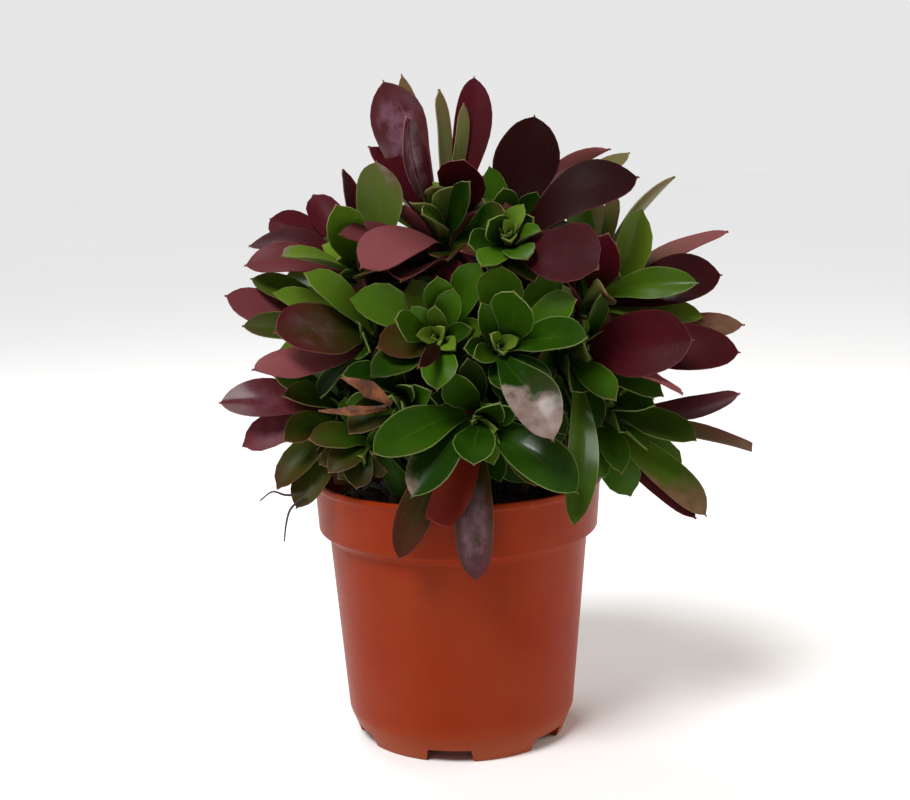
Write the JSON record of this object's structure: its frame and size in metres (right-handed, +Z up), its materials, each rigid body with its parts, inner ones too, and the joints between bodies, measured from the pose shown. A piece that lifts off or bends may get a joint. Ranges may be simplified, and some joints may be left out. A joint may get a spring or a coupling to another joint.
{
  "type": "potted aeonium",
  "caption": "Bushy aeonium with green and burgundy leafy heads on branching woody stems, in soil in a terracotta-coloured plastic nursery pot with a notched foot.",
  "frame": {"origin": "centre of the pot's base, on the surface it stands on", "axes": "+Z up along the pot's axis, -Y towards the side seen from the front, +X to that side's right"},
  "size_m": [0.216, 0.1604, 0.275],
  "materials": {
    "pot_plastic": "satin",
    "potting_soil": "matte",
    "woody_stem": "matte",
    "green_leaf": "satin",
    "burgundy_leaf": "satin"
  },
  "bodies": {
    "root": {"pot": "pot_plastic", "soil": "potting_soil", "stem_left": "woody_stem", "stem_middle": "woody_stem", "stem_right": "woody_stem", "stem_low_right": "woody_stem", "head_front": "green_leaf", "head_front_right": "green_leaf", "head_front_left": "green_leaf", "head_low_front": "green_leaf", "head_top": "burgundy_leaf", "head_crown": "burgundy_leaf", "head_upper_left": "burgundy_leaf", "head_left": "green_leaf", "head_upper_front": "green_leaf", "head_low_middle": "green_leaf", "head_low_left": "green_leaf", "head_upper_right": "burgundy_leaf", "head_right": "burgundy_leaf", "head_low_right": "green_leaf", "head_back_top": "burgundy_leaf", "head_back_left": "green_leaf", "head_back_right": "green_leaf", "head_back_low": "green_leaf", "head_low_back_left": "green_leaf", "head_low_back_right": "green_leaf"}
  },
  "joints": []
}
